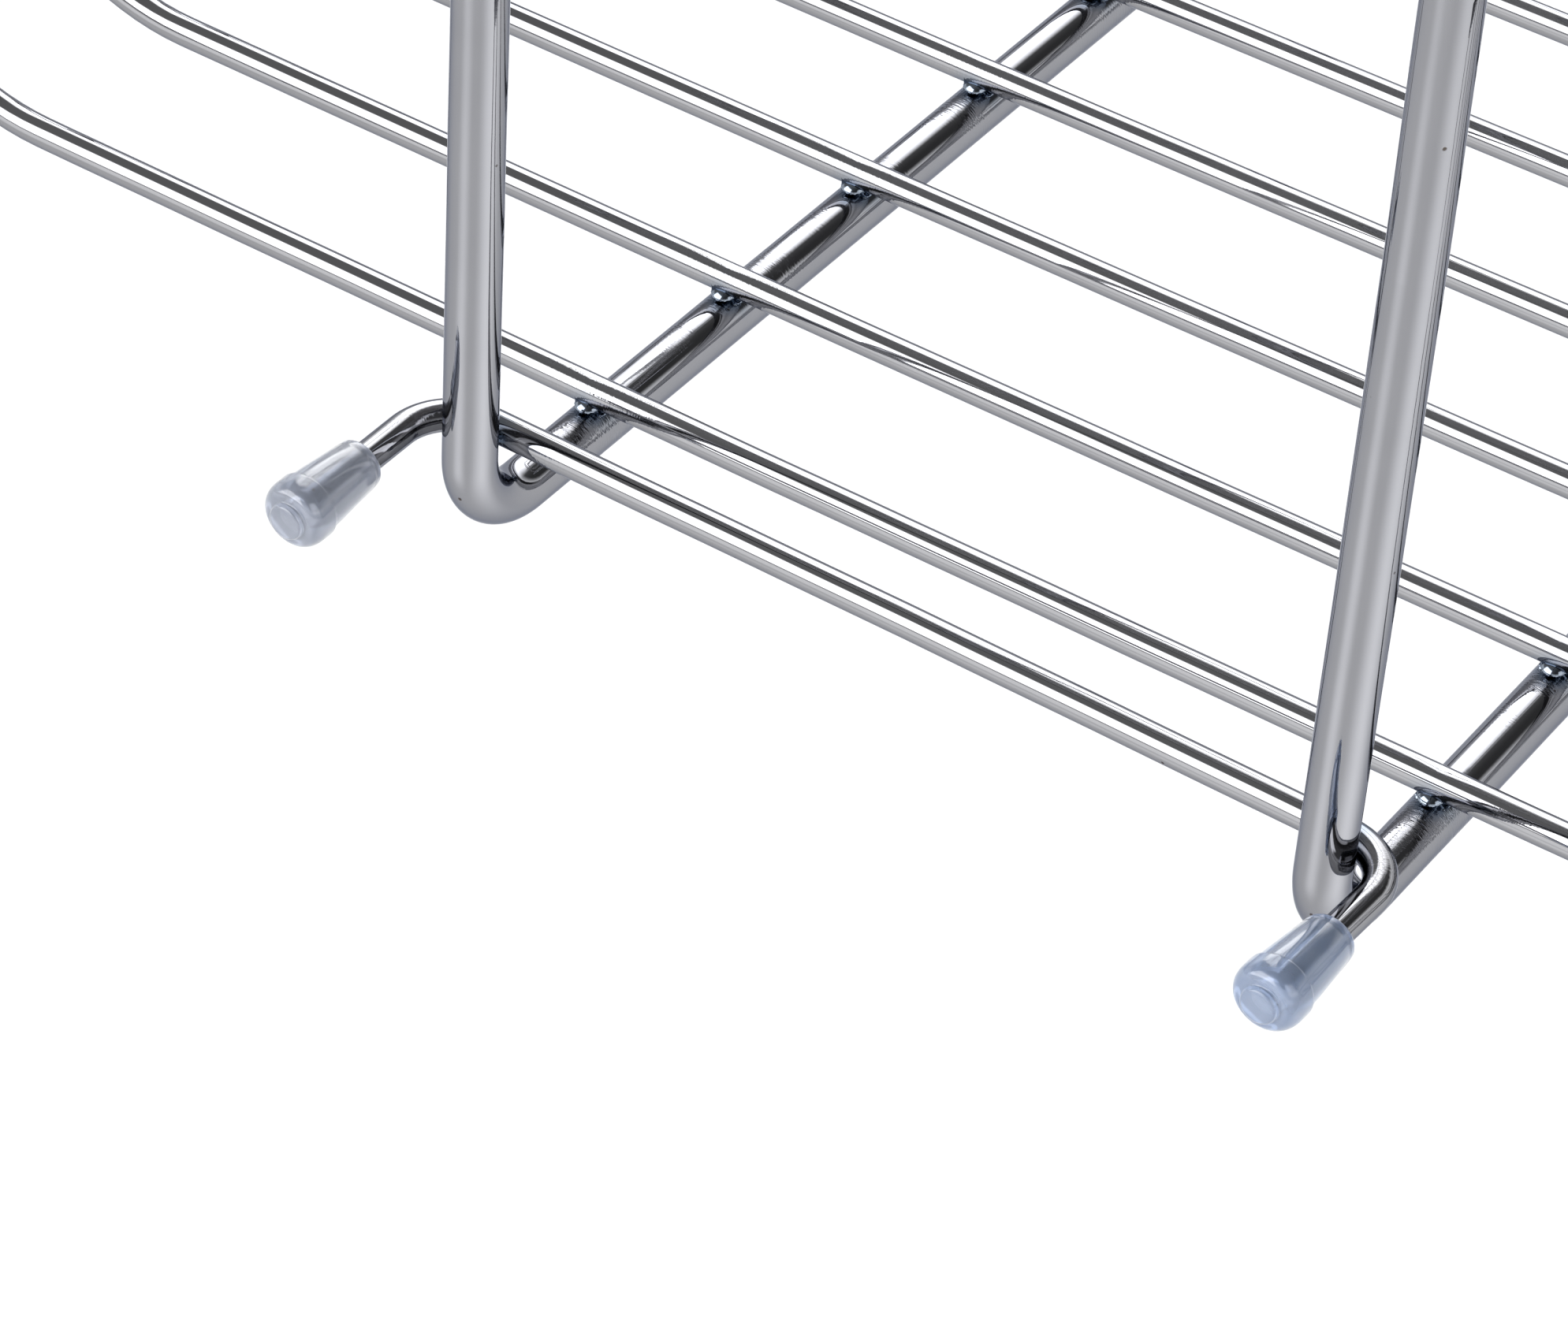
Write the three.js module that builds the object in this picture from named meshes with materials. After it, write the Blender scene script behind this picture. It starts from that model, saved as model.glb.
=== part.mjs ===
// Over-door shoe rack in chromed steel rod and wire, in millimetres, +Z up.
// The origin is the middle of the door's top edge, under the two hooks. The door stands in the XZ plane,
// -Y is the side that the shelves are on, and +X is to the right of a person facing the rack.
import * as THREE from 'three';

// Door hooks, bent from flat strip
const DOOR_GAP = 45;
const STRAP_WIDTH = 25;
const STRAP_THICKNESS = 2;
const STRAP_BEND = 4;
const HOOK_REAR_DROP = 50;
const HOOK_FRONT_DROP = 34;
const HOOK_TAIL = 62;

// Uprights and arms, bent from thick rod
const ROD_RADIUS = 4;
const ROD_BEND = 13;
const UPRIGHT_HALF_SPACING = 70.3;
const UPRIGHT_TOP = -38;
const ARM_REACH = 262;

// Shelves: cross wires turned up at both ends, and a rim round the front and sides
const TIERS = ['bottom', 'middle', 'top'];
const TIER_PITCH = 200;
const TOP_TIER_DROP = 190;
const WIRE_RADIUS = 2.4;
const WIRE_SETBACKS = [30, 64.5, 99, 133, 167, 201, 235];
const FLAT_HALF_WIDTH = 172.3;
const WIRE_BEND = 40;
const RIM_RADIUS = 3;
const RIM_HEIGHT = 52;
const RIM_CORNER = 34;
const RIM_BACK_SETBACK = 22;

// Stand-off wire behind the lowest shelf, with a soft cap on each end
const STANDOFF = 29.3;
const STANDOFF_HEIGHT = 14.2;
const STANDOFF_BEND = 9;
const STANDOFF_HALF_WIDTH = 79.4;
const CAP_LENGTH = 17.4;
const CAP_BORE_RADIUS = 2.7;
const CAP_FLOOR = 3.4;

// Clearance left between pieces that are welded or pushed together
const GAP = 0.3;

// Facets
const ROD_SIDES = 12;
const WIRE_SIDES = 8;
const BEND_STEPS = 5;
const CAP_SIDES = 24;

const UPRIGHT_Y = -DOOR_GAP / 2 - STANDOFF;
const WIRE_LIFT = ROD_RADIUS + GAP + WIRE_RADIUS;
const WIRE_END_X = FLAT_HALF_WIDTH + WIRE_BEND;

const CHROME = { color: 0xc9ccd1, metalness: 1, roughness: 0.14 };
const PLATED_STRIP = { color: 0xc4c8ce, metalness: 1, roughness: 0.2 };
const CLEAR_VINYL = { color: 0xb9c4d6, metalness: 0, roughness: 0.35 };

// The centreline of a bent rod: straight runs between corner points, with each corner rounded to one
// radius. It has stations only at its ends and round its bends, and t counts them evenly.
class BentLine extends THREE.Curve {
  constructor(corners, bendRadius) {
    super();
    this.points = [];
    this.tangents = [];
    this.addStation(corners[0], corners[1].clone().sub(corners[0]).normalize());
    for (let i = 1; i < corners.length - 1; i += 1) {
      this.addBend(corners[i - 1], corners[i], corners[i + 1], bendRadius);
    }
    const last = corners.length - 1;
    this.addStation(corners[last], corners[last].clone().sub(corners[last - 1]).normalize());
    this.steps = this.points.length - 1;
  }

  addStation(point, tangent) {
    this.points.push(point.clone());
    this.tangents.push(tangent.clone());
  }

  addBend(before, corner, after, radius) {
    const incoming = corner.clone().sub(before).normalize();
    const outgoing = after.clone().sub(corner).normalize();
    const turn = incoming.angleTo(outgoing);
    const start = corner.clone().addScaledVector(incoming, -radius * Math.tan(turn / 2));
    const inward = outgoing.clone().addScaledVector(incoming, -incoming.dot(outgoing)).normalize();
    for (let i = 0; i <= BEND_STEPS; i += 1) {
      const angle = (turn * i) / BEND_STEPS;
      const point = start.clone()
        .addScaledVector(incoming, radius * Math.sin(angle))
        .addScaledVector(inward, radius * (1 - Math.cos(angle)));
      const tangent = incoming.clone()
        .multiplyScalar(Math.cos(angle))
        .addScaledVector(inward, Math.sin(angle));
      this.addStation(point, tangent);
    }
  }

  getPoint(t) {
    return this.points[Math.round(t * this.steps)].clone();
  }

  getTangent(t) {
    return this.tangents[Math.round(t * this.steps)].clone();
  }

  getPointAt(t) {
    return this.getPoint(t);
  }

  getTangentAt(t) {
    return this.getTangent(t);
  }
}

const vec = (x, y, z) => new THREE.Vector3(x, y, z);

function namedMesh(name, geometry, look) {
  const mesh = new THREE.Mesh(geometry, new THREE.MeshStandardMaterial(look));
  mesh.name = name;
  return mesh;
}

function roundSection(radius, sides) {
  const corners = [];
  for (let i = 0; i < sides; i += 1) {
    const angle = (2 * Math.PI * (i + 0.5)) / sides;
    corners.push(new THREE.Vector2(radius * Math.cos(angle), radius * Math.sin(angle)));
  }
  return new THREE.Shape(corners);
}

function bentRod(name, corners, bendRadius, radius, sides) {
  const line = new BentLine(corners, bendRadius);
  const geometry = new THREE.ExtrudeGeometry(roundSection(radius, sides), {
    steps: line.steps,
    extrudePath: line,
  });
  return namedMesh(name, geometry, CHROME);
}

// An upright with the lowest shelf's arm bent out of the same rod, turned up at the front.
function upright(name, x, bottomZ) {
  const corners = [
    vec(x, UPRIGHT_Y, UPRIGHT_TOP),
    vec(x, UPRIGHT_Y, bottomZ),
    vec(x, UPRIGHT_Y - ARM_REACH, bottomZ),
    vec(x, UPRIGHT_Y - ARM_REACH, bottomZ + RIM_HEIGHT),
  ];
  return bentRod(name, corners, ROD_BEND, ROD_RADIUS, ROD_SIDES);
}

// An arm of an upper shelf, butted against the front of its upright and turned up at the front.
function arm(name, x) {
  const corners = [
    vec(x, -ROD_RADIUS - GAP, 0),
    vec(x, -ARM_REACH, 0),
    vec(x, -ARM_REACH, RIM_HEIGHT),
  ];
  return bentRod(name, corners, ROD_BEND, ROD_RADIUS, ROD_SIDES);
}

function crossWire(name, setback) {
  const corners = [
    vec(-WIRE_END_X, -setback, RIM_HEIGHT),
    vec(-WIRE_END_X, -setback, WIRE_LIFT),
    vec(WIRE_END_X, -setback, WIRE_LIFT),
    vec(WIRE_END_X, -setback, RIM_HEIGHT),
  ];
  return bentRod(name, corners, WIRE_BEND, WIRE_RADIUS, WIRE_SIDES);
}

// The rim lies outside the turned-up ends of the wires and in front of those of the arms.
function rim(name) {
  const sideX = WIRE_END_X + WIRE_RADIUS + GAP + RIM_RADIUS;
  const frontY = -ARM_REACH - ROD_RADIUS - GAP - RIM_RADIUS;
  const corners = [
    vec(-sideX, -RIM_BACK_SETBACK, RIM_HEIGHT),
    vec(-sideX, frontY, RIM_HEIGHT),
    vec(sideX, frontY, RIM_HEIGHT),
    vec(sideX, -RIM_BACK_SETBACK, RIM_HEIGHT),
  ];
  return bentRod(name, corners, RIM_CORNER, RIM_RADIUS, WIRE_SIDES);
}

// A shelf, placed with its origin between the uprights at the height of its arms.
function shelf(tier, hasOwnArms) {
  const group = new THREE.Group();
  WIRE_SETBACKS.forEach((setback, i) => group.add(crossWire(`${tier}_wire_${i + 1}`, setback)));
  group.add(rim(`${tier}_rim`));
  if (hasOwnArms) {
    group.add(arm(`${tier}_left_arm`, -UPRIGHT_HALF_SPACING));
    group.add(arm(`${tier}_right_arm`, UPRIGHT_HALF_SPACING));
  }
  return group;
}

// The wire runs across the shelf side of both uprights, and its ends point at the door.
function standoffWire() {
  const runY = -WIRE_LIFT;
  const endY = STANDOFF - CAP_FLOOR - GAP;
  const corners = [
    vec(-STANDOFF_HALF_WIDTH, endY, 0),
    vec(-STANDOFF_HALF_WIDTH, runY, 0),
    vec(STANDOFF_HALF_WIDTH, runY, 0),
    vec(STANDOFF_HALF_WIDTH, endY, 0),
  ];
  return bentRod('standoff_wire', corners, STANDOFF_BEND, WIRE_RADIUS, WIRE_SIDES);
}

// A push-on cap along +Y. Its flat nub is at y = 0 and touches the door.
function softCap(name) {
  const profile = [
    [0, -CAP_FLOOR],
    [CAP_BORE_RADIUS, -CAP_FLOOR],
    [CAP_BORE_RADIUS, -CAP_LENGTH],
    [3.5, -CAP_LENGTH],
    [3.92, -CAP_LENGTH + 0.6],
    [3.98, -CAP_LENGTH + 1.5],
    [4.84, -5.9],
    [5.17, -5.3],
    [5.17, -3.3],
    [5.05, -2.4],
    [4.7, -1.5],
    [3.9, -0.7],
    [2.95, -0.5],
    [2.75, -0.4],
    [2.4, 0],
    [0, 0],
  ];
  const outline = profile.map(([radius, y]) => new THREE.Vector2(radius, y));
  return namedMesh(name, new THREE.LatheGeometry(outline, CAP_SIDES), CLEAR_VINYL);
}

function standoff() {
  const group = new THREE.Group();
  group.add(standoffWire());
  [['left_cap', -STANDOFF_HALF_WIDTH], ['right_cap', STANDOFF_HALF_WIDTH]].forEach(([name, x]) => {
    const cap = softCap(name);
    cap.position.set(x, STANDOFF, 0);
    group.add(cap);
  });
  return group;
}

// The middle line of a hook's strip, seen from its side: over the door, down its face, then forward
// and down the back of the upright. The strip's faces touch the door at both sides and on top.
function hookLine() {
  const half = STRAP_THICKNESS / 2;
  const rearY = DOOR_GAP / 2 + half;
  const tailY = UPRIGHT_Y + ROD_RADIUS + GAP + half;
  const corners = [
    vec(rearY, -HOOK_REAR_DROP, 0),
    vec(rearY, half, 0),
    vec(-rearY, half, 0),
    vec(-rearY, -HOOK_FRONT_DROP, 0),
    vec(tailY, -HOOK_FRONT_DROP, 0),
    vec(tailY, -HOOK_FRONT_DROP - HOOK_TAIL, 0),
  ];
  return new BentLine(corners, STRAP_BEND);
}

function doorHook(name, x) {
  const line = hookLine();
  const sides = [-1, 1].map((side) => line.points.map((point, i) => new THREE.Vector2(
    point.x + (side * line.tangents[i].y * STRAP_THICKNESS) / 2,
    point.y - (side * line.tangents[i].x * STRAP_THICKNESS) / 2,
  )));
  const outline = new THREE.Shape([...sides[0], ...sides[1].reverse()]);
  const geometry = new THREE.ExtrudeGeometry(outline, { depth: STRAP_WIDTH, bevelEnabled: false });
  geometry.translate(0, 0, -STRAP_WIDTH / 2);
  const hook = namedMesh(name, geometry, PLATED_STRIP);
  const sideways = new THREE.Matrix4().makeBasis(vec(0, 1, 0), vec(0, 0, 1), vec(1, 0, 0));
  hook.quaternion.setFromRotationMatrix(sideways);
  hook.position.x = x;
  return hook;
}

function shoeRack() {
  const rack = new THREE.Group();
  const tierZ = (i) => -TOP_TIER_DROP - TIER_PITCH * (TIERS.length - 1 - i);
  TIERS.forEach((tier, i) => {
    const group = shelf(tier, i > 0);
    group.position.set(0, UPRIGHT_Y, tierZ(i));
    rack.add(group);
  });
  const spacer = standoff();
  spacer.position.set(0, UPRIGHT_Y, tierZ(0) + STANDOFF_HEIGHT);
  rack.add(spacer);
  [['left', -UPRIGHT_HALF_SPACING], ['right', UPRIGHT_HALF_SPACING]].forEach(([side, x]) => {
    rack.add(upright(`${side}_upright`, x, tierZ(0)));
    rack.add(doorHook(`${side}_door_hook`, x));
  });
  return rack;
}

export default shoeRack();
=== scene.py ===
import math
import random

import bpy
import numpy as np
from mathutils import Matrix, Vector


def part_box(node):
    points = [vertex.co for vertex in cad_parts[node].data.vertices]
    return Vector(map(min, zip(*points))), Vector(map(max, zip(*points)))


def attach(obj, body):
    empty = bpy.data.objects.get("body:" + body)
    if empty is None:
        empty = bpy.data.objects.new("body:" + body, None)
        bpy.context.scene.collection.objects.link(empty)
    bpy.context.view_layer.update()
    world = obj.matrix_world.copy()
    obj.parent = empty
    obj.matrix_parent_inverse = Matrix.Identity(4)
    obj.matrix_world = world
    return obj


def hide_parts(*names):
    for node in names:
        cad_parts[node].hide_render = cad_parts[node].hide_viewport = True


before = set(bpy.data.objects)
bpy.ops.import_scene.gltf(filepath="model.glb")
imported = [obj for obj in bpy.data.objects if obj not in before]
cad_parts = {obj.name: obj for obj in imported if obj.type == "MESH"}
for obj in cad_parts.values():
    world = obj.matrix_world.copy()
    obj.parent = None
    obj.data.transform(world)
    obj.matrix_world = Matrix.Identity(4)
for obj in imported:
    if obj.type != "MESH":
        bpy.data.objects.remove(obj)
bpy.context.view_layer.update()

MM = 0.001
BODY = "root"
TIERS = ("bottom", "middle", "top")
SIDES = ("left", "right")
WIRES_PER_SHELF = 7

# Radii, and how far a flat side of the CAD rods lies from their axes
ROD_RADIUS = 4.0 * MM
WIRE_RADIUS = 2.4 * MM
RIM_RADIUS = 3.0 * MM
ROD_FLAT = ROD_RADIUS * math.cos(math.pi / 12)
WIRE_FLAT = WIRE_RADIUS * math.cos(math.pi / 8)
RIM_FLAT = RIM_RADIUS * math.cos(math.pi / 8)
GAP = 0.3 * MM

# Bends of the rods' centrelines
ROD_BEND = 13.0 * MM
WIRE_BEND = 40.0 * MM
RIM_CORNER = 34.0 * MM
STANDOFF_BEND = 9.0 * MM

# How finely rods are meshed
ROD_SIDES = 56
WIRE_SIDES = 40
RUN_STEP = 3.0 * MM
BEND_TURN = math.radians(4)

# The broken edge of a cut end: (distance from the end, share of the full radius)
ROD_END = ((0.0, 0.86), (0.12 * MM, 0.93), (0.35 * MM, 0.98), (0.7 * MM, 1.0))

# Lengths and height of the slow waves in a drawn wire, and the reach from a weld of the scratches, dents and
# painted shade near it
SWAY_WAVES = (31 * MM, 54 * MM, 97 * MM)
SWAY = 0.012 * MM
WEAR_AND_SHADE_REACH = 26.0 * MM

# An electrode's flat fades out at this many of its half lengths. LEAST_RISE keeps it to the upper half.
FLAT_FADE = 1.25
LEAST_RISE = 0.05

X_AXIS = np.array((1.0, 0.0, 0.0))
Y_AXIS = np.array((0.0, 1.0, 0.0))
Z_AXIS = np.array((0.0, 0.0, 1.0))


# ---------------------------------------------------------------- places, from the CAD frame

def corners_of(node):
    """The low and the high corner of a CAD node's box."""
    lo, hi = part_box(node)
    return np.array(lo), np.array(hi)


def upright_lines(side):
    """x and y of an upright, z of its top, and y and z of the arm bent out of it."""
    lo, hi = corners_of(f"{side}_upright")
    x = (lo[0] + hi[0]) / 2
    return x, hi[1] - ROD_FLAT, hi[2], lo[1] + ROD_FLAT, lo[2] + ROD_FLAT


def rim_lines(tier):
    """x of the rim's left and right side, y of its back ends, y of its front, and its z."""
    lo, hi = corners_of(f"{tier}_rim")
    return lo[0] + RIM_FLAT, hi[0] - RIM_FLAT, hi[1], lo[1] + RIM_FLAT, (lo[2] + hi[2]) / 2


def wire_lines(tier, i):
    """x of a shelf wire's left and right upturn, its y, z of its level part, and z of its ends."""
    lo, hi = corners_of(f"{tier}_wire_{i}")
    return lo[0] + WIRE_FLAT, hi[0] - WIRE_FLAT, (lo[1] + hi[1]) / 2, lo[2] + WIRE_FLAT, hi[2]


def standoff_lines():
    """x of the stand-off wire's left and right leg, y of its long run, y of its ends, and its z."""
    lo, hi = corners_of("standoff_wire")
    return lo[0] + WIRE_FLAT, hi[0] - WIRE_FLAT, lo[1] + WIRE_FLAT, hi[1], (lo[2] + hi[2]) / 2


# ---------------------------------------------------------------- meshes

def new_object(name, verts, faces, material, attribute=None, wear_and_shade=None, sharp=math.radians(40)):
    """A smooth mesh object. attribute is each vertex's place for the material, on a straightened rod where
    there is one, and wear is how near it is to a weld. Edges sharper than sharp stay crisp."""
    mesh = bpy.data.meshes.new(name)
    mesh.from_pydata([tuple(v) for v in verts], [], faces)
    if attribute is not None:
        layer = mesh.attributes.new("rod_space", "FLOAT_VECTOR", "POINT")
        layer.data.foreach_set("vector", np.asarray(attribute, dtype=np.float32).ravel())
    if wear_and_shade is not None:
        layer = mesh.attributes.new("wear_and_shade", "FLOAT", "POINT")
        layer.data.foreach_set("value", np.asarray(wear_and_shade, dtype=np.float32).ravel())
    mesh.polygons.foreach_set("use_smooth", [True] * len(mesh.polygons))
    mesh.set_sharp_from_angle(angle=sharp)
    mesh.update()
    mesh.materials.append(material)
    piece = bpy.data.objects.new(name, mesh)
    bpy.context.scene.collection.objects.link(piece)
    return piece


def bent_path(corners, radius):
    """Points and tangents along straight runs joined by circular bends, close together all the way."""
    corners = [np.array(c, dtype=float) for c in corners]
    points, tangents = [], []

    def run(a, b):
        length = np.linalg.norm(b - a)
        along = (b - a) / length
        steps = max(1, round(length / RUN_STEP))
        for i in range(steps):
            points.append(a + (b - a) * i / steps)
            tangents.append(along)

    start = corners[0]
    for before, corner, after in zip(corners, corners[1:], corners[2:]):
        incoming = (corner - before) / np.linalg.norm(corner - before)
        outgoing = (after - corner) / np.linalg.norm(after - corner)
        turn = math.acos(np.clip(incoming @ outgoing, -1, 1))
        reach = radius * math.tan(turn / 2)
        bend_start = corner - incoming * reach
        run(start, bend_start)
        inward = outgoing - incoming * (incoming @ outgoing)
        inward /= np.linalg.norm(inward)
        steps = max(2, round(turn / BEND_TURN))
        for i in range(steps):
            a = turn * i / steps
            points.append(bend_start + radius * (incoming * math.sin(a) + inward * (1 - math.cos(a))))
            tangents.append(incoming * math.cos(a) + inward * math.sin(a))
        start = corner + outgoing * reach
    run(start, corners[-1])
    points.append(corners[-1])
    tangents.append((corners[-1] - start) / np.linalg.norm(corners[-1] - start))
    return np.array(points), np.array(tangents)


def with_ends(points, tangents):
    """Adds stations at both ends, where the cut edge is broken. Gives points, tangents and radius shares."""
    first = [(points[0] + tangents[0] * d, tangents[0], f) for d, f in ROD_END]
    last = [(points[-1] - tangents[-1] * d, tangents[-1], f) for d, f in reversed(ROD_END)]
    middle = [(p, t, 1.0) for p, t in zip(points[1:-1], tangents[1:-1])]
    stations = first + middle + last
    return (np.array([s[k] for s in stations]) for k in range(3))


def sway(length, seed):
    """A slow sideways wander of a drawn wire, for each distance along it, as two columns."""
    rng = random.Random(seed)
    out = np.zeros((len(length), 2))
    for wave in SWAY_WAVES:
        for column in (0, 1):
            phase = rng.uniform(0, 2 * math.pi)
            out[:, column] += SWAY * rng.uniform(0.4, 1.0) * np.sin(2 * math.pi * length / wave + phase)
    return out


def swept_rod(name, corners, bend, radius, sides, side_axis, material, seed, welds=(), marks=()):
    """A round rod along a bent path. side_axis is normal to the plane it is bent in. welds are points on
    it. marks are the places where an electrode pressed the top: (distance along, depth, half length)."""
    points, tangents, factor = with_ends(*bent_path(corners, bend))
    length = np.concatenate(([0], np.cumsum(np.linalg.norm(np.diff(points, axis=0), axis=1))))
    side = np.tile(side_axis, (len(points), 1))
    up = np.cross(tangents, side)
    drift = sway(length, seed)
    centre = points + side * drift[:, :1] + up * drift[:, 1:]
    theta = 2 * math.pi * (np.arange(sides) + 0.5) / sides
    ring_radius = radius * factor[:, None] * np.ones(sides)
    for at, depth, half in marks:
        press = depth * np.clip(FLAT_FADE - np.abs(length - at) / half, 0, 1)[:, None]
        rise = np.maximum(np.sin(theta), LEAST_RISE)[None, :]
        ring_radius = np.minimum(ring_radius, (radius - press) / rise)
    across = np.cos(theta)[None, :, None] * side[:, None, :] + np.sin(theta)[None, :, None] * up[:, None, :]
    verts = centre[:, None, :] + ring_radius[:, :, None] * across
    straight = np.stack((
        np.repeat(length[:, None], sides, axis=1),
        ring_radius * np.cos(theta),
        ring_radius * np.sin(theta),
    ), axis=2)
    return new_object(name, verts.reshape(-1, 3), tube_faces(len(points), sides), material,
                      straight.reshape(-1, 3), worn_and_shaded(verts.reshape(-1, 3), welds))


def tube_faces(rings, sides):
    """Faces of a closed tube of equal rings of vertices."""
    faces = [
        (r * sides + i, r * sides + (i + 1) % sides, (r + 1) * sides + (i + 1) % sides, (r + 1) * sides + i)
        for r in range(rings - 1) for i in range(sides)
    ]
    faces.append(tuple(reversed(range(sides))))
    faces.append(tuple((rings - 1) * sides + i for i in range(sides)))
    return faces


def worn_and_shaded(verts, welds):
    """1 at a weld, falling to 0 at WEAR_AND_SHADE_REACH from it, for each vertex."""
    wear_and_shade = np.zeros(len(verts))
    for weld in welds:
        away = np.linalg.norm(verts - np.array(weld), axis=1)
        wear_and_shade = np.maximum(wear_and_shade, 1 - away / WEAR_AND_SHADE_REACH)
    return wear_and_shade


def surface_net(field, low, cell):
    """A closed mesh where field is zero: one vertex in each cell that the surface passes through."""
    corner = [(i, j, k) for i in (0, 1) for j in (0, 1) for k in (0, 1)]
    edges = [(a, b) for a in corner for b in corner if a < b and sum(abs(p - q) for p, q in zip(a, b)) == 1]
    shape = tuple(n - 1 for n in field.shape)
    total, count = np.zeros(shape + (3,)), np.zeros(shape)

    def at(offset):
        return field[tuple(slice(o, o + n) for o, n in zip(offset, shape))]

    for a, b in edges:
        fa, fb = at(a), at(b)
        crossed = (fa < 0) != (fb < 0)
        share = np.where(crossed, fa / np.where(crossed, fa - fb, 1), 0)
        step = np.array(b) - np.array(a)
        total += crossed[..., None] * (np.array(a) + share[..., None] * step)
        count += crossed
    used = count > 0
    index = np.full(shape, -1)
    index[used] = np.arange(used.sum())
    cells = np.argwhere(used)
    verts = low + cell * (cells + total[used] / count[used][:, None])
    faces = []
    for axis in range(3):
        u, v = (axis + 1) % 3, (axis + 2) % 3
        inner = [slice(0, n - 1) if d == axis else slice(1, n - 1) for d, n in enumerate(field.shape)]
        onward = [slice(s.start + (d == axis), s.stop + (d == axis)) for d, s in enumerate(inner)]
        here, there = field[tuple(inner)] < 0, field[tuple(onward)] < 0
        for place in np.argwhere(here != there):
            base = place + np.array([0 if d == axis else 1 for d in range(3)])
            loop = []
            for du, dv in ((1, 1), (0, 1), (0, 0), (1, 0)):
                c = base.copy()
                c[u] -= du
                c[v] -= dv
                loop.append(int(index[tuple(c)]))
            faces.append(tuple(loop) if here[tuple(place)] else tuple(reversed(loop)))
    return verts, faces


# Weld metal, in millimetres. Its mesh has BEAD_CELL spacing, and where it isn't melted it lies BEAD_INSET
# inside the rods. A region is the half size of the egg-shaped space that a fillet may fill. The ripples'
# phases span about a full turn, in radians.
BEAD_CELL = 0.2
BEAD_INSET = 0.02
RIPPLE_WAVES = (1.1, 1.7, 2.9)
RIPPLE_PHASES = 6.28
CROSSED_MELT = 1.15
CROSSED_REGION = (2.7, 3.2, 2.0)
CROSSED_RELIEF = 0.035
BUTTED_MELT = 2.4
BUTTED_REGION = (6.4, 7.0, 5.2)
BUTTED_RELIEF = 0.08
SEAM_RADIUS = 1.35
SEAM_RIPPLE = 0.10
SEAM_RIPPLES_PER_MM = 3.4 / (2 * math.pi)
SEAM_MARGIN = 2.2
SEAM_RELIEF = 0.05


class Beads:
    """Weld metal, gathered into one mesh. Lengths inside are in millimetres."""

    def __init__(self, seed):
        self.verts, self.faces = [], []
        self.rng = random.Random(seed)

    def add(self, field_of, origin, axes, half, relief):
        """field_of(x, y, z) gives the distance and how strongly two surfaces melt together there. relief is
        the height of the ripple on the melted metal."""
        grids = [np.arange(-h - 2 * BEAD_CELL, h + 2 * BEAD_CELL, BEAD_CELL) for h in half]
        x, y, z = np.meshgrid(*grids, indexing="ij")
        distance, melt = field_of(x, y, z)
        ripple = np.zeros_like(distance)
        for wave in RIPPLE_WAVES:
            kx, ky, kz = (self.rng.uniform(-1, 1) * 2 * math.pi / wave for _ in range(3))
            phase = self.rng.uniform(0, RIPPLE_PHASES)
            ripple += np.sin(kx * x + ky * y + kz * z + phase) * wave / RIPPLE_WAVES[-1]
        distance = distance - melt ** 2 * relief * ripple
        region = np.sqrt((x / half[0]) ** 2 + (y / half[1]) ** 2 + (z / half[2]) ** 2) - 1
        distance = np.maximum(distance + BEAD_INSET, region * min(half))
        verts, faces = surface_net(distance, np.array([g[0] for g in grids]), BEAD_CELL)
        turned = verts @ np.array(axes) * MM + np.array(origin)
        base = sum(len(v) for v in self.verts)
        self.verts.append(turned)
        self.faces.extend(tuple(base + i for i in face) for face in faces)

    def crossed(self, contact, along_a, along_b, radius_a, radius_b, b_ends=False):
        """A fillet where rod b lies across rod a, or ends on it. contact is the middle of the gap between
        them, and the local axes are b's direction, a's direction, and from a to b."""
        apart = np.cross(along_b, along_a)
        ra, rb, half_gap = radius_a / MM, radius_b / MM, GAP / MM / 2

        def field_of(x, y, z):
            a = np.hypot(x, z + half_gap + ra) - ra
            b = np.hypot(y, z - half_gap - rb) - rb
            if b_ends:
                b = np.maximum(b, x)
            return melted(a, b, CROSSED_MELT)

        self.add(field_of, contact, (along_b, along_a, apart), CROSSED_REGION, CROSSED_RELIEF)

    def butted(self, contact, along_a, along_b, radius):
        """A fillet round the end of rod b, which is butted against the side of rod a."""
        aside = np.cross(along_a, along_b)
        r, half_gap = radius / MM, GAP / MM / 2

        def field_of(x, y, z):
            a = np.hypot(x, z + half_gap + r) - r
            b = np.maximum(np.hypot(x, y) - r, half_gap - z)
            return melted(a, b, BUTTED_MELT)

        self.add(field_of, contact, (aside, along_a, along_b), BUTTED_REGION, BUTTED_RELIEF)

    def seam(self, middle, along, aside, out, half_length):
        """A rippled bead that lies in the groove along the side of a rod on a strip."""
        def field_of(x, y, z):
            bead = SEAM_RADIUS + SEAM_RIPPLE * np.sin(2 * math.pi * x * SEAM_RIPPLES_PER_MM)
            core = np.sqrt(np.maximum(np.abs(x) - half_length, 0) ** 2 + y ** 2 + z ** 2) - bead
            return core, np.ones_like(core)

        half = (half_length + SEAM_MARGIN, SEAM_MARGIN, SEAM_MARGIN)
        self.add(field_of, middle, (along, aside, out), half, SEAM_RELIEF)

    def piece(self, name, material):
        """All the metal added so far, as one object."""
        verts = np.concatenate(self.verts)
        return new_object(name, verts, self.faces, material, verts)


def melted(a, b, width):
    """Smooth union of two distances, and how far each point is inside the melted zone."""
    h = np.maximum(width - np.abs(a - b), 0) / width
    return np.minimum(a, b) - h ** 2 * width / 4, h


# ---------------------------------------------------------------- materials

# Sockets of a Mix node that mixes colours
MIX_A = 6
MIX_B = 7
MIX_RESULT = 2


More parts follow.
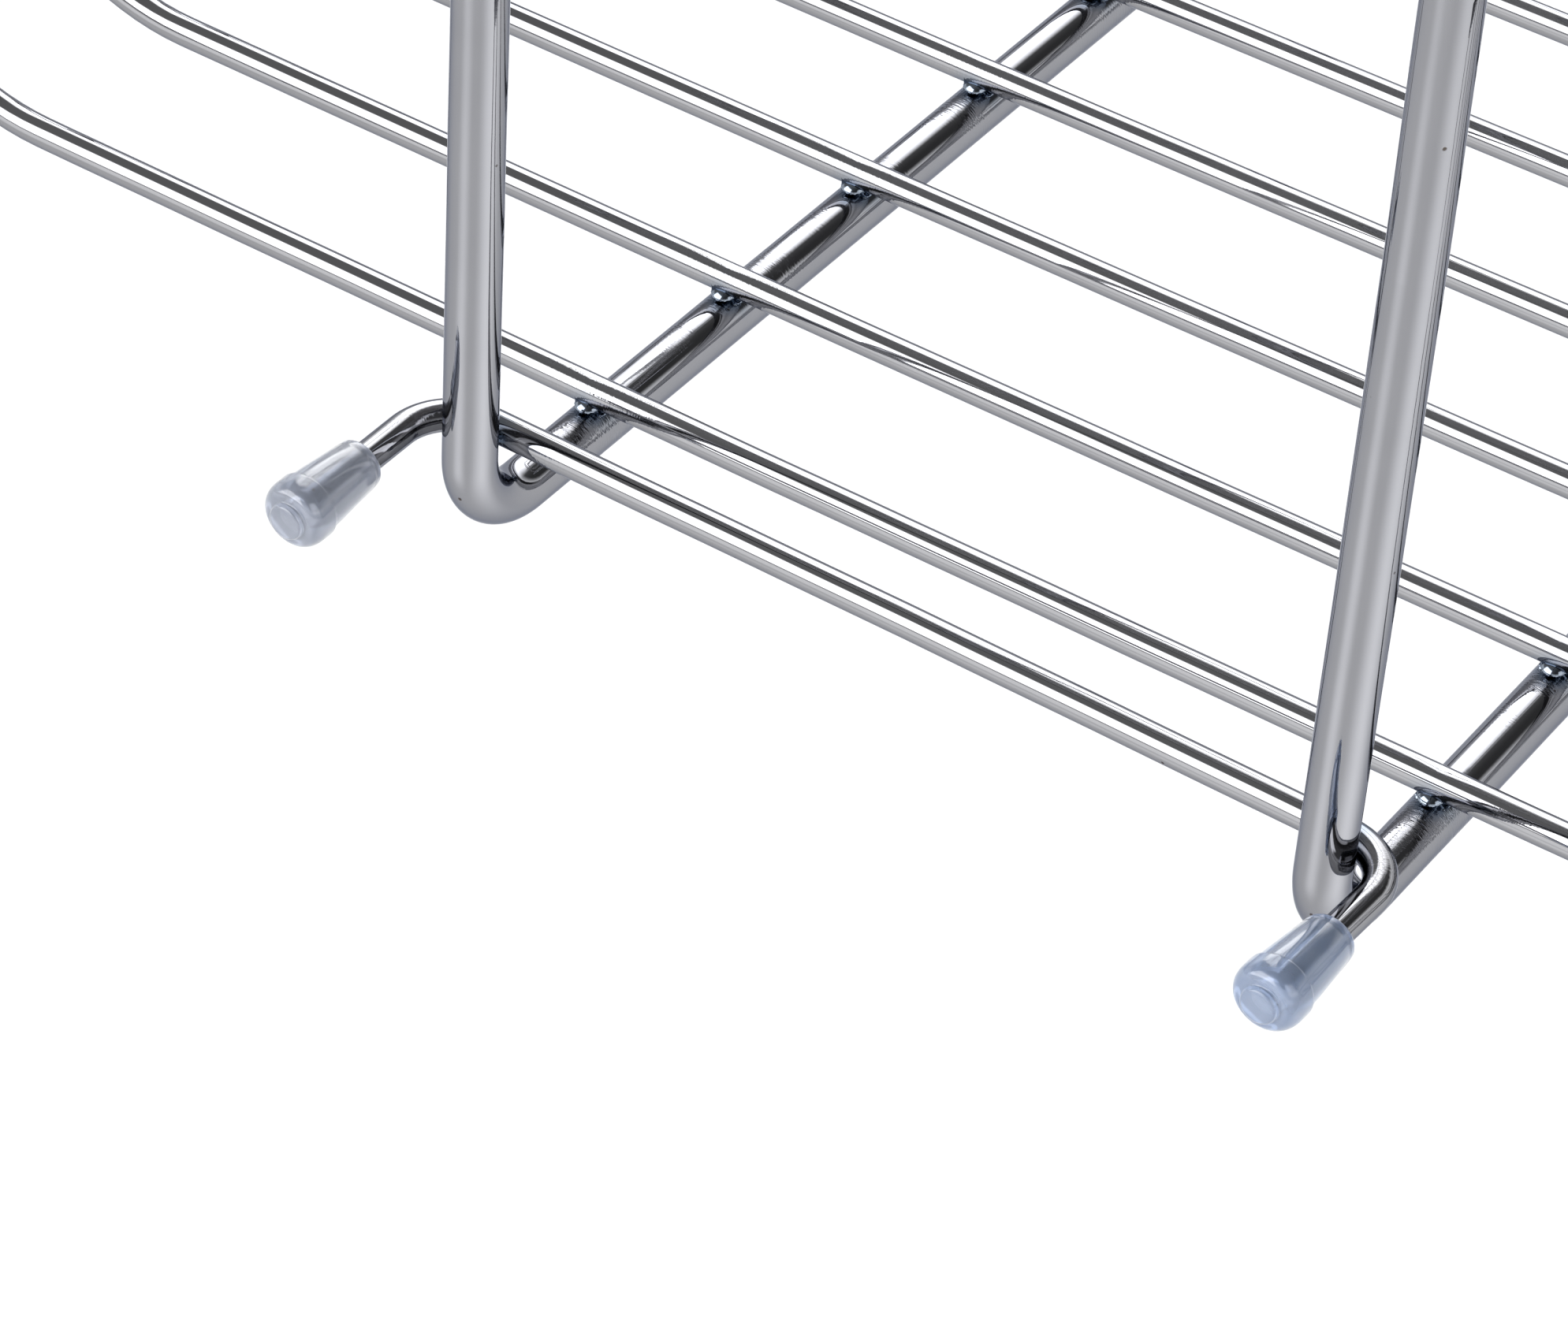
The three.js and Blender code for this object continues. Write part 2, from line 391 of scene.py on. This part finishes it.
class Nodes:
    """A short way to add and link shader nodes."""

    def __init__(self, tree):
        self.tree = tree

    def add(self, kind, inputs=(), **settings):
        node = self.tree.nodes.new(kind)
        for key, value in settings.items():
            setattr(node, key, value)
        for socket, value in dict(inputs).items():
            self.feed(node, socket, value)
        return node

    def feed(self, node, socket, value):
        """Links the socket when value is another node's output, and sets it when value is a constant."""
        if isinstance(value, bpy.types.NodeSocket):
            self.tree.links.new(value, node.inputs[socket])
        else:
            node.inputs[socket].default_value = value

    def math(self, operation, a, b):
        return self.add("ShaderNodeMath", {0: a, 1: b}, operation=operation).outputs[0]

    def dot(self, a, b):
        return self.add("ShaderNodeVectorMath", {0: a, 1: b}, operation="DOT_PRODUCT").outputs["Value"]

    def smooth(self, value, low, high, to_low=0.0, to_high=1.0):
        """to_low up to low and to_high from high, with a smooth step between. low may be over high."""
        if low > high:
            low, high, to_low, to_high = high, low, to_high, to_low
        node = self.add("ShaderNodeMapRange", {
            "Value": value, "From Min": low, "From Max": high, "To Min": to_low, "To Max": to_high,
        }, interpolation_type="SMOOTHSTEP")
        return node.outputs["Result"]

    def scaled(self, vector, scale):
        return self.add("ShaderNodeVectorMath", {0: vector, 1: scale}, operation="MULTIPLY").outputs["Vector"]

    def noise(self, vector, scale, detail=2.0):
        node = self.add("ShaderNodeTexNoise", {"Vector": vector, "Scale": scale, "Detail": detail})
        return node.outputs["Fac"]

    def bump(self, height, distance, normal=None):
        inputs = {"Height": height, "Distance": distance, "Strength": 1.0}
        if normal is not None:
            inputs["Normal"] = normal
        return self.add("ShaderNodeBump", inputs).outputs["Normal"]

    def mix_color(self, factor, a, b):
        node = self.add("ShaderNodeMix", {"Factor": factor}, data_type="RGBA")
        self.feed(node, MIX_A, a)
        self.feed(node, MIX_B, b)
        return node.outputs[MIX_RESULT]


def new_material(name):
    material = bpy.data.materials.new(name)
    material.use_nodes = True
    shader = material.node_tree.nodes["Principled BSDF"]
    return material, Nodes(material.node_tree), shader


def specks(n, vector, scale, size):
    """1 in small round spots, in about a sixth of the cells, and 0 elsewhere."""
    node = n.add("ShaderNodeTexVoronoi", {"Vector": vector, "Scale": scale}, feature="F1")
    draw = n.add("ShaderNodeSeparateColor", {0: node.outputs["Color"]}).outputs[0]
    chosen = n.smooth(draw, low=0.82, high=0.84)
    return n.math("MULTIPLY", n.smooth(node.outputs["Distance"], low=size, high=size * 0.5), chosen)


# Colours of the marks on the surfaces and of the painted shade where a wire crosses a rod, and the noise
# scales (along a rod, across it, through it)
WELD_PAINTED_SHADE = (0.195, 0.23, 0.28, 1)
PIT_COLOR = (0.10, 0.085, 0.075, 1)
DUST_COLOR = (0.22, 0.17, 0.13, 1)
GRAZING_TINT = (0.44, 0.46, 0.52, 1)
SCRATCH_SCALE = (2600.0, 320.0, 320.0)
DENT_SCALE = (330.0, 220.0, 220.0)
SWELL_SCALE = (60.0, 190.0, 190.0)
SCRATCHES_EVERYWHERE = 0.01
DENT_DEPTH = 0.012 * MM
GRAIN_DEPTH = 0.0012 * MM
PIT_DEPTH = 0.03 * MM


def chrome(name, color, brushed, waviness):
    """Bright chrome plate over drawn steel: cross scratches and dents near the welds, a painted shade that
    turns darker and bluer right at each weld, pits, a faint film.
    brushed and waviness are the depths of the scratches and of the slow swell."""
    material, n, shader = new_material(name)
    place = n.add("ShaderNodeAttribute", attribute_name="rod_space").outputs["Vector"]
    wear_and_shade = n.add("ShaderNodeAttribute", attribute_name="wear_and_shade").outputs["Fac"]

    film = n.noise(place, scale=90.0, detail=3.0)
    pits = specks(n, place, scale=230.0, size=0.085)
    tone = n.mix_color(film, (*[c * 0.96 for c in color], 1), (*[c * 1.04 for c in color], 1))
    # Painted shade and painted reflection: within about 5 mm of a weld the colour turns darker and bluer,
    # standing in for the shade and the mirrored underside of a wire that lies across a rod.
    tone = n.mix_color(n.smooth(wear_and_shade, low=0.79, high=0.94), tone, WELD_PAINTED_SHADE)
    tone = n.mix_color(pits, tone, PIT_COLOR)

    scratches = n.math("SUBTRACT", n.noise(n.scaled(place, SCRATCH_SCALE), scale=1.0), 0.5)
    patches = n.smooth(n.noise(place, scale=60.0, detail=1.0), low=0.46, high=0.60)
    near = n.math("MULTIPLY", n.smooth(wear_and_shade, low=0.25, high=0.8), patches)
    scratches = n.math("MULTIPLY", scratches, n.math("ADD", near, SCRATCHES_EVERYWHERE))
    dents = n.noise(n.scaled(place, DENT_SCALE), scale=1.0)
    dents = n.math("MULTIPLY", dents, n.smooth(wear_and_shade, low=0.3, high=0.9))
    swell = n.noise(n.scaled(place, SWELL_SCALE), scale=1.0, detail=1.0)
    normal = n.bump(swell, waviness)
    normal = n.bump(dents, DENT_DEPTH, normal)
    normal = n.bump(n.noise(place, scale=900.0), GRAIN_DEPTH, normal)
    normal = n.bump(scratches, brushed, normal)
    normal = n.bump(pits, -PIT_DEPTH, normal)

    rough = n.smooth(film, low=0.35, high=0.7, to_low=0.03, to_high=0.075)
    rough = n.math("ADD", rough, n.math("MULTIPLY", pits, 0.4))
    shader.inputs["Metallic"].default_value = 1.0
    shader.inputs["Specular Tint"].default_value = GRAZING_TINT
    n.feed(shader, "Base Color", tone)
    n.feed(shader, "Roughness", rough)
    n.feed(shader, "Normal", normal)
    return material


def clear_vinyl(name, dull, bright):
    """Frosted clear vinyl with a bluish cast, moulding haze, dust specks and a slightly uneven skin."""
    material, n, shader = new_material(name)
    place = n.add("ShaderNodeTexCoord").outputs["Object"]
    haze = n.noise(place, scale=240.0, detail=3.0)
    dust = specks(n, place, scale=420.0, size=0.10)
    tone = n.mix_color(haze, (*dull, 1), (*bright, 1))
    tone = n.mix_color(dust, tone, DUST_COLOR)
    normal = n.bump(n.noise(place, scale=800.0), 0.003 * MM)
    normal = n.bump(dust, 0.02 * MM, normal)
    rough = n.smooth(haze, low=0.3, high=0.7, to_low=0.15, to_high=0.24)
    shader.inputs["IOR"].default_value = 1.42
    shader.inputs["Transmission Weight"].default_value = 0.66
    shader.inputs["Coat Weight"].default_value = 1.0
    shader.inputs["Coat Roughness"].default_value = 0.09
    n.feed(shader, "Base Color", tone)
    n.feed(shader, "Roughness", rough)
    n.feed(shader, "Normal", normal)
    return material


ROD_CHROME = chrome("rod_chrome", (0.309, 0.312, 0.332), brushed=0.11 * MM, waviness=0.030 * MM)
WIRE_CHROME = chrome("wire_chrome", (0.316, 0.317, 0.330), brushed=0.03 * MM, waviness=0.020 * MM)
WELD_CHROME = chrome("weld_chrome", (0.235, 0.270, 0.320), brushed=0.006 * MM, waviness=0.060 * MM)
STRIP_CHROME = chrome("strip_chrome", (0.300, 0.304, 0.320), brushed=0.003 * MM, waviness=0.030 * MM)
CLEAR_VINYL = {
    "left": clear_vinyl("blue_vinyl", (0.36, 0.47, 0.70), (0.48, 0.58, 0.78)),
    "right": clear_vinyl("grey_vinyl", (0.41, 0.46, 0.58), (0.53, 0.57, 0.67)),
}

# How the rack is out of true. The left upright leans towards the door over its last part and carries the
# stand-off wire with it, whose middle has STANDOFF_BOW of the lean. That wire sits a little to the right,
# and its left leg turns inwards, by SPLAY for each unit of its length. The shelf wires rise outside the arms.
LEAN = {"left": 1.8 * MM, "right": 0.0}
LEAN_HEIGHT = 110.0 * MM
STANDOFF_BOW = 0.28
SIDEWAYS = {"left": 0.4 * MM, "right": 1.2 * MM}
SPLAY = {"left": 0.04, "right": 0.0}
WIRE_RISE = 0.7 * MM


def settle(piece, slot, *nodes):
    """Puts a piece on the body, in place of the CAD nodes it stands for. slot is not used."""
    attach(piece, BODY)
    if nodes:
        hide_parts(*nodes)


# ---------------------------------------------------------------- uprights, arms, wires and rims

def arm_xs():
    """x of the left and of the right arm, which every shelf shares."""
    return [upright_lines(side)[0] for side in SIDES]


def arm_welds(tier, x, arm_z):
    """Where the cross wires of a shelf are welded to the arm at x."""
    return [(x, wire_lines(tier, i)[2], arm_z + ROD_RADIUS) for i in range(1, WIRES_PER_SHELF + 1)]


def make_upright(side, seed):
    x, y, top, front, low = upright_lines(side)
    rim_z = rim_lines("bottom")[4]
    path = [(x, y, top), (x, y + LEAN[side], low), (x, front, low), (x, front, rim_z)]
    if LEAN[side]:
        path.insert(1, (x, y, low + LEAN_HEIGHT))
    rod = swept_rod(f"{side}_upright_rod", path, ROD_BEND, ROD_RADIUS, ROD_SIDES, X_AXIS, ROD_CHROME, seed,
                    arm_welds("bottom", x, low))
    settle(rod, "rod", f"{side}_upright")


def make_arm(tier, side, seed):
    lo, hi = corners_of(f"{tier}_{side}_arm")
    x, front, low = (lo[0] + hi[0]) / 2, lo[1] + ROD_FLAT, lo[2] + ROD_FLAT
    path = ((x, hi[1], low), (x, front, low), (x, front, hi[2]))
    rod = swept_rod(f"{tier}_{side}_arm_rod", path, ROD_BEND, ROD_RADIUS, ROD_SIDES, X_AXIS, ROD_CHROME,
                    seed, arm_welds(tier, x, low))
    settle(rod, "rod", f"{tier}_{side}_arm")


def make_wire(tier, i, seed):
    left, right, y, low, top = wire_lines(tier, i)
    arms = arm_xs()
    path = [(left, y, top), (left, y, low + WIRE_RISE), (arms[0], y, low),
            (arms[1], y, low), (right, y, low + WIRE_RISE), (right, y, top)]
    rng = random.Random(seed)
    upturn = (top - low - WIRE_BEND) + WIRE_BEND * math.pi / 2
    marks = []
    for x in arms:
        at = upturn + x - left - WIRE_BEND + rng.uniform(-1, 1) * MM
        depth = rng.uniform(0.03, 0.16) * MM
        half_length = rng.uniform(2.2, 3.6) * MM
        marks.append((at, depth, half_length))
    welds = [(x, y, low - WIRE_RADIUS) for x in arms]
    wire = swept_rod(f"{tier}_wire_{i}_rod", path, WIRE_BEND, WIRE_RADIUS, WIRE_SIDES, Y_AXIS, WIRE_CHROME,
                     seed, welds, marks)
    settle(wire, "wire", f"{tier}_wire_{i}")


def make_rim(tier, seed):
    left, right, back, front, z = rim_lines(tier)
    path = ((left, back, z), (left, front, z), (right, front, z), (right, back, z))
    rim = swept_rod(f"{tier}_rim_rod", path, RIM_CORNER, RIM_RADIUS, WIRE_SIDES, Z_AXIS, WIRE_CHROME, seed)
    settle(rim, "wire", f"{tier}_rim")


def standoff_lean(x):
    """How far the leaning upright carries the stand-off wire towards the door at x."""
    left, right = arm_xs()
    height = (standoff_lines()[4] - upright_lines("left")[4]) / LEAN_HEIGHT
    return LEAN["left"] * (1 - height) * (right - x) / (right - left)


def end_x(side, y):
    """x of the stand-off wire's end at y."""
    left, right, run, _, _ = standoff_lines()
    return {"left": left, "right": right}[side] + SIDEWAYS[side] + SPLAY[side] * (y - run)


def make_standoff(seed):
    left, right, run, end, z = standoff_lines()
    path = (
        (end_x("left", end), end + standoff_lean(left), z),
        (end_x("left", run), run + standoff_lean(left), z),
        (0.0, run + standoff_lean(left) * STANDOFF_BOW, z),
        (end_x("right", run), run + standoff_lean(right), z),
        (end_x("right", end), end, z),
    )
    welds = [(x, run + WIRE_RADIUS, z) for x in arm_xs()]
    wire = swept_rod("standoff_rod", path, STANDOFF_BEND, WIRE_RADIUS, WIRE_SIDES, Z_AXIS, WIRE_CHROME,
                     seed, welds)
    settle(wire, "wire", "standoff_wire")


# ---------------------------------------------------------------- welds

def weld_shelf(tier, seed):
    beads = Beads(seed)
    for i in range(1, WIRES_PER_SHELF + 1):
        wire_left, wire_right, y, low, top = wire_lines(tier, i)
        for x in arm_xs():
            contact = (x, y, low - WIRE_RADIUS - GAP / 2)
            beads.crossed(contact, Y_AXIS, -X_AXIS, ROD_RADIUS, WIRE_RADIUS)
        for x, outward in ((wire_left, -1), (wire_right, 1)):
            contact = (x + outward * (WIRE_RADIUS + GAP / 2), y, top)
            beads.crossed(contact, outward * Y_AXIS, Z_AXIS, RIM_RADIUS, WIRE_RADIUS, b_ends=True)
    rim_z = rim_lines(tier)[4]
    arm_front = upright_lines("left")[3]
    for x in arm_xs():
        contact = (x, arm_front - ROD_RADIUS - GAP / 2, rim_z)
        beads.crossed(contact, X_AXIS, Z_AXIS, RIM_RADIUS, ROD_RADIUS, b_ends=True)
    if tier == "bottom":
        weld_standoff(beads)
    else:
        weld_arms(beads, tier)
    settle(beads.piece(f"{tier}_welds", WELD_CHROME), "wire")


def weld_standoff(beads):
    _, _, run, _, z = standoff_lines()
    for x in arm_xs():
        contact = (x, run + standoff_lean(x) + WIRE_RADIUS + GAP / 2, z)
        beads.crossed(contact, Z_AXIS, X_AXIS, ROD_RADIUS, WIRE_RADIUS)


def weld_arms(beads, tier):
    for side, x in zip(SIDES, arm_xs()):
        lo, hi = corners_of(f"{tier}_{side}_arm")
        contact = (x, hi[1] + GAP / 2, lo[2] + ROD_FLAT)
        beads.butted(contact, Z_AXIS, -Y_AXIS, ROD_RADIUS)


# Every rod and bead has a seed of its own
for number, tier in enumerate(TIERS):
    for i in range(1, WIRES_PER_SHELF + 1):
        make_wire(tier, i, 100 * number + i)
    make_rim(tier, 100 * number + 20)
    if tier != "bottom":
        for k, side in enumerate(SIDES):
            make_arm(tier, side, 100 * number + 30 + k)
    weld_shelf(tier, 100 * number + 40)
for k, side in enumerate(SIDES):
    make_upright(side, 500 + k)
make_standoff(510)


# ---------------------------------------------------------------- caps

# A soft cap, in millimetres. Heights are measured from the face of the button on its head, and the neck lies
# below it. The wire's end is pressed WIRE_PRESSED_IN into the bore's floor.
CAP_SEGMENTS = 72
CAP_BORE = 2.34
WIRE_PRESSED_IN = 0.1
NECK_EDGE = 0.62
NECK_EDGE_RADIUS = 3.27
SLEEVE = ((4.35, -11.6), (4.66, -8.2), (4.79, -5.8), (4.79, -5.48))
HEAD_EDGE = ((5.09, -5.42), (5.17, -5.28), (5.19, -4.95))
DOME_RADIUS = 5.18
DOME_CENTRE = 3.10
DOME_LOW = -3.68
DOME_TOP = -1.038
DOME_POWER = 2.38
BUTTON_FOOT = ((2.88, -1.0), (2.79, -0.88), (2.75, -0.6))
BUTTON_EDGE = ((2.72, -0.3), (2.62, -0.14), (2.46, -0.04), (2.3, 0.0))
BUTTON_FACE = ((1.2, 0.02), (0.0, 0.0))


def arc_points(centre, radius, start, stop, steps):
    """Points on an arc in (radius, height), with the angles in degrees from the radial direction."""
    angles = np.radians(np.linspace(start, stop, steps + 1))
    return [(centre[0] + radius * math.cos(a), centre[1] + radius * math.sin(a)) for a in angles]


def dome_points(steps):
    """The head's shoulder: a quarter round that is a little squarer than an ellipse."""
    width, rise = DOME_RADIUS - DOME_CENTRE, DOME_TOP - DOME_LOW
    points = []
    for a in np.radians(np.linspace(0, 90, steps + 1)):
        across = max(math.cos(a), 0.0) ** (2 / DOME_POWER)
        up = math.sin(a) ** (2 / DOME_POWER)
        points.append((DOME_CENTRE + width * across, DOME_LOW + rise * up))
    return points


def cap_outline(length, floor):
    """(radius, height) from the bore's floor out round the neck and up to the middle of the button."""
    neck = -length
    outline = [(0.0, -floor), (CAP_BORE - 0.4, -floor), (CAP_BORE, -floor - 0.4)]
    outline += [(CAP_BORE, neck + 0.35), (CAP_BORE + 0.3, neck)]
    outline += arc_points((NECK_EDGE_RADIUS, neck + NECK_EDGE), NECK_EDGE, -90, -10, 5)
    # A slight collar with a groove behind it, then the tapered sleeve
    outline += [(3.93, neck + 1.1), (3.98, neck + 1.4), (3.94, neck + 1.65), (4.06, neck + 2.0)]
    outline += SLEEVE + HEAD_EDGE
    outline += dome_points(12)
    outline += BUTTON_FOOT + BUTTON_EDGE + BUTTON_FACE
    return outline


def make_cap(side):
    node = f"{side}_cap"
    lo, hi = corners_of(node)
    x, z, tip, neck = (lo[0] + hi[0]) / 2, (lo[2] + hi[2]) / 2, hi[1], lo[1]
    wire_end = standoff_lines()[3]
    outline = cap_outline((tip - neck) / MM, (tip - wire_end) / MM + WIRE_PRESSED_IN)
    rings = [p for p in outline if p[0] > 0]
    shift = standoff_lean(x)

    def placed(radius, height, a):
        y = tip + height * MM
        return end_x(side, y) + radius * MM * math.cos(a), y + shift, z + radius * MM * math.sin(a)

    verts = [placed(0.0, outline[0][1], 0.0)]
    for radius, height in rings:
        verts += [placed(radius, height, 2 * math.pi * i / CAP_SEGMENTS) for i in range(CAP_SEGMENTS)]
    verts.append(placed(0.0, 0.0, 0.0))
    faces = []
    last = len(verts) - 1
    for i in range(CAP_SEGMENTS):
        j = (i + 1) % CAP_SEGMENTS
        faces.append((0, 1 + i, 1 + j))
        for r in range(len(rings) - 1):
            a, b = 1 + r * CAP_SEGMENTS, 1 + (r + 1) * CAP_SEGMENTS
            faces.append((a + i, b + i, b + j, a + j))
        end = 1 + (len(rings) - 1) * CAP_SEGMENTS
        faces.append((end + i, last, end + j))
    cap = new_object(f"{side}_soft_cap", verts, faces, CLEAR_VINYL[side], sharp=math.radians(60))
    settle(cap, "cap", node)


for side in SIDES:
    make_cap(side)


# ---------------------------------------------------------------- door hooks

STRAP_THICKNESS = 2.0 * MM
STRAP_BEND = 4.0 * MM
STRAP_EDGE = 0.45 * MM
EDGE_STEPS = 4
STRAP_END_ROUNDING = 0.25
HOOK_FRONT_DROP = 34.0 * MM
HOOK_REAR_LOW = -50.0 * MM

# Each hook's welds: their half length in millimetres, how far down the upright's top they lie, and how far
# beside its axis and off the strip
SEAM_HALF_LENGTH = 8.0
SEAM_DROPS = (14.0 * MM, 50.0 * MM)
SEAM_ASIDE = 2.9 * MM
SEAM_OFF_STRIP = 1.15 * MM


def strip_section(width):
    """The strip's cross-section: (across the strip, through it), with its edges rounded."""
    r = STRAP_EDGE
    w, t = width / 2 - r, STRAP_THICKNESS / 2 - r
    section = []
    for cx, cz, start in ((w, t, 0), (-w, t, 90), (-w, -t, 180), (w, -t, 270)):
        for step in range(EDGE_STEPS + 1):
            a = math.radians(start + 90 * step / EDGE_STEPS)
            section.append((cx + r * math.cos(a), cz + r * math.sin(a)))
    return section


def make_hook(side, seed):
    """A strip bent up the door's back, over its edge and down its front, out to the upright and down it."""
    node = f"{side}_door_hook"
    lo, hi = corners_of(node)
    x, half = (lo[0] + hi[0]) / 2, STRAP_THICKNESS / 2
    rear, top = hi[1] - half, hi[2] - half
    tail = lo[1] + half
    front = -rear
    shelf_z = top - half - HOOK_FRONT_DROP
    path = ((x, rear, HOOK_REAR_LOW), (x, rear, top), (x, front, top), (x, front, shelf_z),
            (x, tail, shelf_z), (x, tail, lo[2]))
    points, tangents, factor = with_ends(*bent_path(path, STRAP_BEND))
    section = strip_section(hi[0] - lo[0])
    out = np.cross(tangents, X_AXIS)
    length = np.concatenate(([0], np.cumsum(np.linalg.norm(np.diff(points, axis=0), axis=1))))
    verts, straight = [], []
    for point, normal, scale, s in zip(points, out, 1 - (1 - factor) * STRAP_END_ROUNDING, length):
        for across, through in section:
            verts.append(point + X_AXIS * across * scale + normal * through * scale)
            straight.append((s, across, through))
    faces = tube_faces(len(points), len(section))
    hook = new_object(f"{side}_hook_strip", verts, faces, STRIP_CHROME, straight)
    settle(hook, "strip", node)

    beads = Beads(seed)
    for drop in SEAM_DROPS:
        for aside in (-SEAM_ASIDE, SEAM_ASIDE):
            middle = (x + aside, tail - half - SEAM_OFF_STRIP, shelf_z - drop)
            beads.seam(middle, Z_AXIS, X_AXIS, Y_AXIS, SEAM_HALF_LENGTH)
    settle(beads.piece(f"{side}_hook_welds", WELD_CHROME), "strip")


for k, side in enumerate(SIDES):
    make_hook(side, 900 + k)


# ---------------------------------------------------------------- floor, light and camera

# The floor glows a little and evenly, plus painted pools of light in two places, where softboxes would light
# it (centre, reach, strength), and painted light that rises beyond a line along X (where the rise starts,
# where it is full, strength)
FLOOR_DROP = 2.0
FLOOR_SIZE = 60.0
FLOOR_GLOW = 0.31
FLOOR_PAINTED_LIGHT_POOLS = (((0.45, 1.66, 0), 1.1, 0.6), ((-1.75, 0.0, 0), 1.8, 0.8))
FLOOR_PAINTED_FAR_LIGHT = (1.9, 3.6, 0.6)

# The room's brightness: a ceiling that is brighter towards +X, over a band that is brighter at its top than
# at its bottom. CEILING_HEIGHTS is where one gives way to the other. Places are parts of a unit direction.
CEILING_SPAN = (-0.45, 0.35)
CEILING_LEVELS = (0.07, 0.27)
CEILING_HEIGHTS = (0.24, 0.46)
BAND_LEVELS = (0.85, 1.2)
BAND_HEIGHTS = (0.02, 0.16)

# Bright panels: azimuth in degrees, slopes across, slopes up, strength
PANELS = (
    (30.0, (-0.82, 0.0, 0.20, 0.36), (0.24, 0.36, 1.15, 2.0), 4.2),
    (150.0, (-0.70, -0.50, 0.50, 0.70), (0.06, 0.16, 0.98, 1.30), 4.2),
    (-105.0, (-0.60, -0.40, 0.40, 0.60), (0.16, 0.30, 0.90, 1.20), 1.6),
)


def make_floor():
    mesh = bpy.data.meshes.new("floor")
    s = FLOOR_SIZE / 2
    mesh.from_pydata([(-s, -s, 0), (s, -s, 0), (s, s, 0), (-s, s, 0)], [], [(0, 1, 2, 3)])
    floor = bpy.data.objects.new("floor", mesh)
    floor.location.z = -FLOOR_DROP
    bpy.context.scene.collection.objects.link(floor)
    material, n, shader = new_material("pale_floor")
    place = n.add("ShaderNodeTexCoord").outputs["Object"]
    tone = n.mix_color(n.noise(place, scale=0.8), (0.70, 0.70, 0.70, 1), (0.74, 0.74, 0.74, 1))
    glow = FLOOR_GLOW
    # Painted light: the floor glows brighter in two pools and towards +Y, standing in for light falling on
    # it.
    for centre, reach, strength in FLOOR_PAINTED_LIGHT_POOLS:
        away = n.add("ShaderNodeVectorMath", {0: place, 1: centre}, operation="DISTANCE").outputs["Value"]
        glow = n.math("ADD", n.smooth(away, low=reach, high=0.0, to_high=strength), glow)
    start, full, strength = FLOOR_PAINTED_FAR_LIGHT
    far = n.smooth(n.dot(place, Y_AXIS), low=start, high=full, to_high=strength)
    n.feed(shader, "Emission Strength", n.math("ADD", glow, far))
    n.feed(shader, "Base Color", tone)
    shader.inputs["Roughness"].default_value = 1.0
    shader.inputs["Specular IOR Level"].default_value = 0.0
    shader.inputs["Emission Color"].default_value = (1, 1, 1, 1)
    mesh.materials.append(material)


def softbox(n, direction, azimuth, across, rise):
    """How much of a soft-edged panel is seen in a direction. azimuth turns from -Y towards +X. across and
    rise are slopes away from the panel's own direction: outer low, inner low, inner high, outer high."""
    a = math.radians(azimuth)
    facing = n.dot(direction, (math.sin(a), -math.cos(a), 0))
    sideways = n.dot(direction, (math.cos(a), math.sin(a), 0))
    height = n.dot(direction, Z_AXIS)
    ahead = n.math("MAXIMUM", facing, 0.02)
    mask = n.smooth(facing, low=0.02, high=0.12)
    for run, span in ((sideways, across), (height, rise)):
        slope = n.math("DIVIDE", run, ahead)
        mask = n.math("MULTIPLY", mask, n.smooth(slope, low=span[0], high=span[1]))
        mask = n.math("MULTIPLY", mask, n.smooth(slope, low=span[3], high=span[2]))
    return mask


def light_studio():
    world = bpy.data.worlds.new("studio")
    bpy.context.scene.world = world
    world.use_nodes = True
    n = Nodes(world.node_tree)
    direction = n.add("ShaderNodeTexCoord").outputs["Generated"]
    height = n.dot(direction, Z_AXIS)
    sideways = n.dot(direction, X_AXIS)
    ceiling = n.smooth(sideways, *CEILING_SPAN, *CEILING_LEVELS)
    band = n.smooth(height, *BAND_HEIGHTS, *BAND_LEVELS)
    upper = n.smooth(height, *CEILING_HEIGHTS)
    lower = n.math("SUBTRACT", 1.0, upper)
    level = n.math("ADD", n.math("MULTIPLY", band, lower), n.math("MULTIPLY", ceiling, upper))
    for azimuth, across, rise, strength in PANELS:
        mask = softbox(n, direction, azimuth, across, rise)
        level = n.math("ADD", level, n.math("MULTIPLY", mask, strength))
    background = world.node_tree.nodes["Background"]
    n.feed(background, "Color", level)
    background.inputs["Strength"].default_value = 1.0


# Heading is in degrees from +Y towards +X. Lens and sensor are in millimetres.
CAMERA_PLACE = (-0.3339, 0.5082, -0.0364)
CAMERA_HEADING = 148.0
CAMERA_PITCH = -39.90
CAMERA_ROLL = 3.74
CAMERA_LENS = 142.97
SENSOR_WIDTH = 36.0


def make_camera():
    camera = bpy.data.objects.new("camera", bpy.data.cameras.new("camera"))
    bpy.context.scene.collection.objects.link(camera)
    camera.location = CAMERA_PLACE
    heading, pitch = math.radians(CAMERA_HEADING), math.radians(CAMERA_PITCH)
    level = math.cos(pitch)
    ahead = Vector((math.sin(heading) * level, math.cos(heading) * level, math.sin(pitch)))
    turn = ahead.to_track_quat("-Z", "Y").to_matrix() @ Matrix.Rotation(math.radians(CAMERA_ROLL), 3, "Z")
    camera.rotation_mode = "QUATERNION"
    camera.rotation_quaternion = turn.to_quaternion()
    camera.data.lens = CAMERA_LENS
    camera.data.sensor_width = SENSOR_WIDTH
    camera.data.clip_start = 0.01
    camera.data.clip_end = 100.0
    bpy.context.scene.camera = camera


make_floor()
light_studio()
make_camera()
bpy.context.scene.view_settings.view_transform = "Standard"
